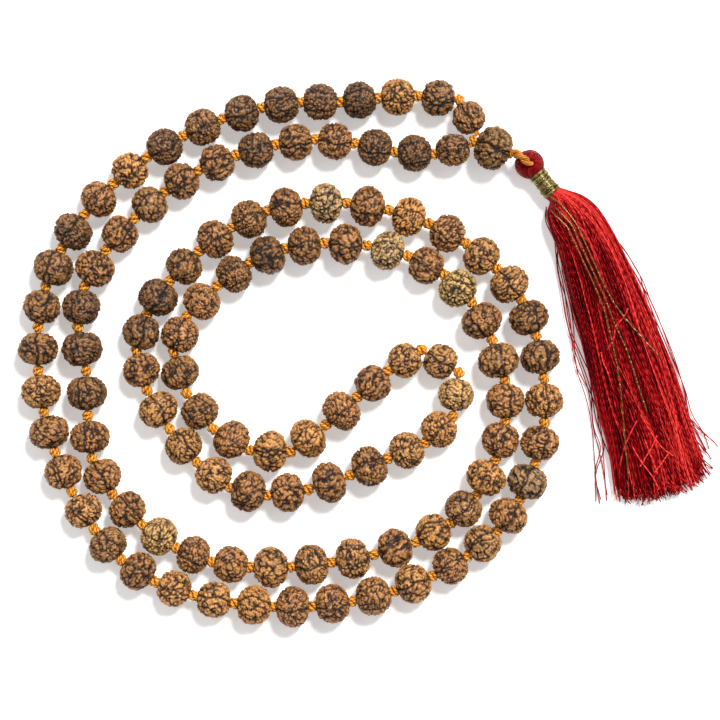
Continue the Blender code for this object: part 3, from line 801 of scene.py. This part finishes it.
def add_guru(shape, seeds, cord):
    """The guru bead, the knot that joins the string's ends, and the cord through the bead."""
    rng = np.random.default_rng(77)
    axis = unit(GURU_EXIT - JUNCTION)
    middle = (JUNCTION + GURU_EXIT) / 2.0
    guru = carved_seed(
        middle, axis, GURU_RADIUS, GURU_HALF_LENGTH, 1.8 * MM, 1.2 * MM, 0.55, np.array(GURU_TONE), rng
    )
    add_piece("guru_seed", [guru], seeds, "guru_bead", ["guru_bead"])
    line = JUNCTION + axis * np.linspace(-0.4 * MM, 9.9 * MM, 24)[:, None]
    tie = tied_knot(shape, JUNCTION, axis, 1.15 * MM, 1.3 * MM, rng)
    add_piece(
        "junction_knot", [twisted_thread(line, 0.8 * MM, 2.6 * MM), tie], cord, "guru_cord",
        ["guru_cord"],
    )


# ---------------------------------------------------------------- the tassel

def add_loop(material):
    """Two strands twisted round each other, from the guru bead over the ball and into its middle."""
    line = through(LOOP_ROUTE, 60)
    run = np.linspace(0.0, 1.0, len(line))
    tangent = unit(np.gradient(line, axis=0))
    side = unit(np.cross(tangent, UP))
    top = np.cross(side, tangent)
    shapes = []
    for start in (0.0, np.pi):
        turn = (2.0 * np.pi * 1.5 * run + start)[:, None]
        reach = (0.62 - 0.24 * run)[:, None] * MM
        strand = line + (side * np.cos(turn) + top * np.sin(turn)) * reach
        size = (0.66 - 0.16 * run) * MM
        points, quads, values = twisted_thread(strand, size, 4.2 * MM, sides=30, plies=5, depth=0.4)
        # Squared and scaled, the ply profile paints deeper shade where the plies and the two strands meet.
        shapes.append((points, quads, {"ply": 0.8 * values["ply"] ** 2}))
    add_piece("twisted_loop", shapes, material, "tassel_loop", ["tassel_loop"])


def ball_threads(count, points, start, end, angles):
    """Lines over a unit ball that leave its top all round and meet again at the tassel's neck."""
    out = np.cross(ALONG, UP)
    far = np.tan(np.linspace(start, end, points) / 2.0)[None, :, None]
    way = np.cos(angles)[:, None, None] * UP + np.sin(angles)[:, None, None] * out
    flat = UP + far * way
    size = (flat**2).sum(axis=-1, keepdims=True)
    return (2.0 * flat + (size - 1.0) * ALONG) / (size + 1.0)


def add_ball(material):
    """The head: silk laid over the loop and gathered into the neck."""
    rng = np.random.default_rng(5)
    layers = []
    for layer, (count, lift) in enumerate(((150, 0.0), (120, 0.07))):
        steps, sides = 46, 5
        angles = 2.0 * np.pi * (np.arange(count) + rng.uniform(-0.6, 0.6, count)) / count
        lines = ball_threads(count, steps, 0.10, 3.02, angles)
        height = BALL_RADIUS + lift * MM + rng.uniform(-0.05, 0.05, (count, 1, 1)) * MM
        paths = BALL_CENTRE + lines * height
        points, quads = tubes(paths, np.full((count, steps), 0.105 * MM), sides, lines)
        # Darker where the threads leave the loop's entry: painted shade in the mouth.
        mouth = np.interp(np.linspace(0.0, 1.0, steps), (0.0, 0.25, 0.5, 1.0), (-0.35, -0.05, 0.08, 0.0))
        folds = 0.06 * np.sin(7.0 * angles) + 0.06 * np.sin(17.0 * angles)
        shade = np.clip(folds[:, None] + rng.normal(0.33, 0.13, (count, 1)) + mouth, 0.0, 1.0)
        layers.append((points, quads, {
            "shade": np.repeat(shade.ravel(), sides),
            "along": per_ring(np.linspace(0.0, 3.0 * MM, steps), count, sides),
        }))
    x = np.linspace(-1.0, 1.0, 26)
    core = BALL_CENTRE + ALONG * (x * BALL_RADIUS * 0.97)[:, None]
    reach = BALL_RADIUS * 0.97 * np.sqrt(np.maximum(1.0 - x**2, 0.004))
    points, quads = tubes(core[None], reach[None], 24)
    # The ball's core is coloured dark: painted shade between the threads.
    layers.append((points, quads, {
        "shade": np.full(len(points), 0.12), "along": np.full(len(points), 0.0),
    }))
    add_piece("wound_ball", layers, material, "tassel_head", ["tassel_ball"])


def wrap_radius(x):
    """The wrap's radius along the neck: it is drawn in at its waist."""
    share = (x - WRAP_ENDS[0]) / (WRAP_ENDS[1] - WRAP_ENDS[0])
    return (2.05 + 0.22 * (2.0 * share - 0.95) ** 2) * MM


def add_wrap(material):
    """Fine gold thread, wound round the neck, with one turn that crosses the others."""
    rng = np.random.default_rng(9)
    sides, steps = 6, 40
    shapes = []
    turns = np.arange(WRAP_TURNS * steps) / steps
    x = WRAP_ENDS[0] + (WRAP_ENDS[1] - WRAP_ENDS[0]) * turns / WRAP_TURNS
    uneven = rng.normal(0.0, 0.07 * MM, WRAP_TURNS * 2 + 1)
    x = x + 0.05 * MM * np.sin(2.0 * np.pi * turns * 1.013 + 0.4)
    x = x + np.interp(2.0 * turns, np.arange(len(uneven)), uneven)
    crossing = np.linspace(0.0, 1.0, 60)
    helices = [
        (x, 2.0 * np.pi * turns, 0.0),
        (WRAP_ENDS[0] + 1.1 * MM + crossing * 3.4 * MM, 0.3 + crossing * np.pi, 0.16 * MM),
        (WRAP_ENDS[0] + 2.6 * MM + crossing * 2.6 * MM, 3.0 - crossing * np.pi * 0.9, 0.15 * MM),
    ]
    for place, turn, lift in helices:
        ripple = 0.04 * MM * np.sin(turn * 0.37 + 1.0)
        reach = (wrap_radius(place) + lift + ripple)[:, None]
        radial = ACROSS * np.cos(turn)[:, None] + UP * np.sin(turn)[:, None]
        line = BALL_CENTRE + ALONG * place[:, None] + radial * reach
        points, quads = tubes(line[None], np.full((1, len(line)), 0.108 * MM), sides, radial[None])
        coil = np.repeat(rng.uniform(0.1, 1.0, len(line) // steps + 1), steps)[: len(line)]
        along = np.linspace(0.0, len(line) * 0.34 * MM, len(line))
        shapes.append((points, quads, {
            "shade": per_ring(coil, 1, sides), "along": per_ring(along, 1, sides),
        }))
    span = np.linspace(WRAP_ENDS[0] - 0.3 * MM, WRAP_ENDS[1] + 0.1 * MM, 20)
    core = BALL_CENTRE + ALONG * span[:, None]
    points, quads = tubes(core[None], (wrap_radius(span) - 0.05 * MM)[None], 28)
    # The core under the turns is coloured dark: painted shade in the gaps between them.
    shapes.append((points, quads, {
        "shade": np.full(len(points), 0.05), "along": points[:, 0],
    }))
    add_piece("gold_winding", shapes, material, "tassel_head", ["gold_wrap"])


def skirt_sections():
    """The silk's sections, from inside the wrap down: middle, half width, half height."""
    low, high = SKIRT[:, 4], SKIRT[:, 5]
    left = np.column_stack([SKIRT[:, 0:2], (low + high) / 2.0])
    right = np.column_stack([SKIRT[:, 2:4], (low + high) / 2.0])
    middle = (left + right) / 2.0
    half = (right - left) / 2.0
    inside = np.array((5.6, 8.6))[:, None] * MM
    middle = np.concatenate([BALL_CENTRE + ALONG * inside, middle])
    half = np.concatenate([ACROSS * np.array((1.6, 1.95))[:, None] * MM, half])
    height = np.concatenate([np.array((1.5, 1.8)) * MM, (high - low) / 2.0])
    return middle, half, height


def silk_lines(across, upwards, ends, steps):
    """Threads through the sections: across and upwards are (threads, steps), from -1 to 1."""
    middle, half, height = skirt_sections()
    last = len(middle) - 1
    numbers = np.arange(last + 1)
    at = np.linspace(0.0, 1.0, steps)[None, :] * ends[:, None] * last
    at = np.minimum(at, last)
    centre = curve_points(numbers, middle, at)
    reach = curve_points(numbers, half, at)
    rise = curve_points(numbers, height[:, None], at)[..., 0]
    return centre + reach * across[..., None] + UP * (rise * upwards)[..., None]


def wander(rng, count, steps, size, bends):
    """Slow random side steps for many threads, which start at nothing."""
    at = np.linspace(0.0, 1.0, steps)[None, :]
    total = np.zeros((count, steps))
    for bend in bends:
        phase = rng.uniform(0.0, 2.0 * np.pi, (count, 1))
        total += rng.normal(0.0, 1.0 / bend, (count, 1)) * np.sin(2.0 * np.pi * bend * at + phase)
    return total * size * np.minimum(at * 3.0, 1.0)


def bundle(rng, locks, per_lock, steps, shell):
    """Silk in locks: each thread stays near its lock, and strays further from it lower down."""
    count = locks * per_lock
    angle = np.repeat(rng.uniform(0.0, 2.0 * np.pi, locks), per_lock)
    depth = np.repeat(rng.uniform(shell, 1.0, locks) ** 0.5, per_lock)
    at = np.linspace(0.0, 1.0, steps)[None, :]
    loose = 0.055 + 0.075 * at
    across = (depth * np.cos(angle))[:, None] + loose * rng.normal(0.0, 1.0, (count, 1))
    upwards = (depth * np.sin(angle))[:, None] + loose * rng.normal(0.0, 1.0, (count, 1))
    lock_sway = wander(rng, locks, steps, 0.15, (0.6, 1.2, 2.2))
    across = across + np.repeat(lock_sway, per_lock, axis=0)
    across = across + wander(rng, count, steps, 0.10, (1.1, 2.3, 4.4, 8.0))
    upwards = upwards + wander(rng, count, steps, 0.09, (1.1, 2.3, 4.1))
    size = np.sqrt(across**2 + upwards**2)
    limit = np.where(size > 0.92, (0.92 + 0.13 * np.tanh((size - 0.92) / 0.16)) / size, 1.0)
    ends = np.repeat(rng.uniform(-0.034, 0.030, locks), per_lock) - rng.uniform(0.0, 0.025, count)
    ends = ends + 0.925 + 0.045 * (1.0 - across[:, -1] ** 2)
    return across * limit, upwards * limit, np.clip(ends, 0.85, 1.0)


def silk_shape(paths, radius, shade, sides=5):
    """Threads along paths as one shape; shade has one value for each thread or path point."""
    many, steps, _ = paths.shape
    shade = np.clip(np.broadcast_to(np.reshape(shade, (many, -1)), (many, steps)), 0.0, 1.0)
    points, quads = tubes(paths, np.full((many, steps), radius), sides)
    length = np.linalg.norm(np.diff(paths, axis=1), axis=2).sum(axis=1).mean()
    return points, quads, {
        "shade": np.repeat(shade.ravel(), sides),
        "along": per_ring(np.linspace(0.0, length, steps), many, sides),
    }


def silk_top(places):
    """How high the bundle's surface is at places seen from above."""
    far = -SKIRT[:, 1] - SKIRT[:, 3]
    here = -2.0 * places[:, 1]
    left, right, low, high = (np.interp(here, far, SKIRT[:, i]) for i in (0, 2, 4, 5))
    aside = np.clip((2.0 * places[:, 0] - left - right) / (right - left), -0.98, 0.98)
    return (low + high) / 2.0 + (high - low) / 2.0 * np.sqrt(1.0 - aside**2)


def stray_lines(rng, steps, copies):
    """Threads beside the bundle: they follow the listed routes and sink to the surface."""
    lines = []
    for route in STRAY_ROUTES:
        height = np.linspace(1.3 * MM, 0.2 * MM, len(route))
        line = through(np.column_stack([route, height]), steps)
        sway = 0.9 * MM * min(1.0, np.linalg.norm(line[-1] - line[0]) / (50.0 * MM))
        for _ in range(copies):
            aside = wander(rng, 1, steps, sway, (0.8, 1.7, 3.1))[0]
            lines.append(line + aside[:, None] * np.array((0.9, 0.35, 0.0)))
    return np.array(lines)


def crossing_lines(steps):
    """Threads that lie across the bundle, on its surface."""
    lines = []
    for route in CROSSING_ROUTES:
        line = through(np.array(route), steps)
        lines.append(np.column_stack([line, silk_top(line) + 0.12 * MM]))
    return np.array(lines)


def blend_skirt(piece):
    """Bakes a piece's placement into its mesh."""
    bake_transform(piece)


def add_skirt(material):
    """The silk below the wrap: hundreds of threads in three layers, and the ones that strayed."""
    rng = np.random.default_rng(21)
    # The last number of each layer is its shade: the under layers are darker, painted shade beneath the upper
    # ones.
    layers = (
        ("silk_under", 36, 7, 0.11 * MM, 0.0, 0.18),
        ("silk_middle", 44, 6, 0.125 * MM, 0.70, 0.36),
        ("silk_over", 46, 6, 0.14 * MM, 0.88, 0.52),
    )
    for name, locks, per_lock, radius, shell, tone in layers:
        steps, sides = 60, 5
        across, upwards, ends = bundle(rng, locks, per_lock, steps, shell)
        paths = silk_lines(across, upwards, ends, steps)
        # Random tone for each lock and thread, then painted light: lighter towards one side of the bundle, and
        # along its length the silk's painted light and shade.
        light = np.repeat(rng.normal(tone, 0.15, locks), per_lock)
        light = light + rng.normal(0.0, 0.16, len(light)) + 0.13 * across[:, 12]
        light = light[:, None] + np.interp(np.linspace(0.0, 1.0, steps), *SILK_PAINTED_LIGHT)
        shapes = [silk_shape(paths, radius, light, sides)]
        piece = add_piece(name, shapes, material, None, ["tassel_skirt"])
        blend_skirt(piece)
    strays = stray_lines(rng, 70, 2)
    crossings = crossing_lines(40)
    # Strays take random shades; the threads crossing on top get the brightest shade, painted light.
    shapes = [
        silk_shape(strays, 0.13 * MM, rng.uniform(0.25, 0.7, len(strays)), 6),
        silk_shape(crossings, 0.18 * MM, rng.uniform(0.85, 1.0, len(crossings)), 6),
    ]
    add_piece("silk_strays", shapes, material, "tassel_skirt", ["tassel_skirt"])


def add_core(material):
    """The dense middle of the silk, which closes the gaps between threads; it is coloured dark, painted shade
    seen through them.
    """
    steps, sides = 60, 28
    middle, half, height = skirt_sections()
    numbers = np.arange(len(middle))
    at = np.linspace(0.0, len(middle) - 2.4, steps)
    centre = curve_points(numbers, middle, at)
    reach = 0.80 * curve_points(numbers, half, at)
    rise = 0.78 * curve_points(numbers, height[:, None], at)
    angles = 2.0 * np.pi * np.arange(sides) / sides
    flutes = 1.0 + 0.05 * np.cos(9.0 * angles)[None, :, None]
    points = centre[:, None] + flutes * (
        reach[:, None] * np.cos(angles)[:, None] + UP * (rise[:, None] * np.sin(angles)[:, None])
    )
    index = np.arange(steps * sides).reshape(steps, sides)
    here, ahead = index[:-1], index[1:]
    walls = np.stack([here, np.roll(here, -1, axis=1), np.roll(ahead, -1, axis=1), ahead], axis=-1)
    quads = [walls.reshape(-1, 4)]
    for i in range(sides // 2 - 1):
        corners = [i, i + 1, sides - 2 - i, sides - 1 - i]
        quads.append(index[0][corners][::-1][None])
        quads.append(index[-1][corners][None])
    run = np.repeat(np.linspace(0.0, 80.0 * MM, steps), sides)
    # A low, randomly striped shade: painted shade inside the bundle.
    stripes = 0.08 + 0.12 * np.tile(np.random.default_rng(4).uniform(0.0, 1.0, sides), steps)
    shape = (points.reshape(-1, 3), np.concatenate(quads), {"shade": stripes, "along": run})
    piece = add_piece("silk_core", [shape], material, None, ["tassel_skirt"])
    blend_skirt(piece)


def add_tails(material):
    """The wrap's loose ends, each a free thread in a piece of its own."""
    for name, route in TAIL_ROUTES.items():
        line = through(np.array(TAIL_STARTS[name] + route), 100)
        length = float(np.linalg.norm(np.diff(line, axis=0), axis=1).sum())
        radii = np.full((1, len(line)), GOLD_RADIUS)
        points, quads = tubes(line[None], radii, 6)
        along = per_ring(np.linspace(0.0, length, len(line)), 1, 6)
        shape = (points, quads, {"shade": np.full(len(points), 0.45), "along": along})
        piece = add_piece(name + "_thread", [shape], material, None, [name])
        blend_skirt(piece)


# ---------------------------------------------------------------- the whole


add_camera()
# The orange's dark colour is the painted shade between plies, and its bright colour the painted highlights.
orange = thread_material(
    "orange_thread", (0.17, 0.035, 0.002), (0.60, 0.19, 0.007), (0.98, 0.50, 0.06), 0.42, 3800.0
)
red_silk = silk_material(
    "red_silk", (0.045, 0.0, 0.002), (0.285, 0.002, 0.005), (0.88, 0.058, 0.046)
)
gold = gold_material("gold_thread")
rudraksha = seed_material("rudraksha")
string = string_knots()
knot = add_string(string, orange)
add_tails(gold)
add_seeds(string, rudraksha)
add_guru(knot, rudraksha, orange)
add_loop(orange)
add_ball(red_silk)
add_wrap(gold)
add_core(red_silk)
add_skirt(red_silk)
add_studio()
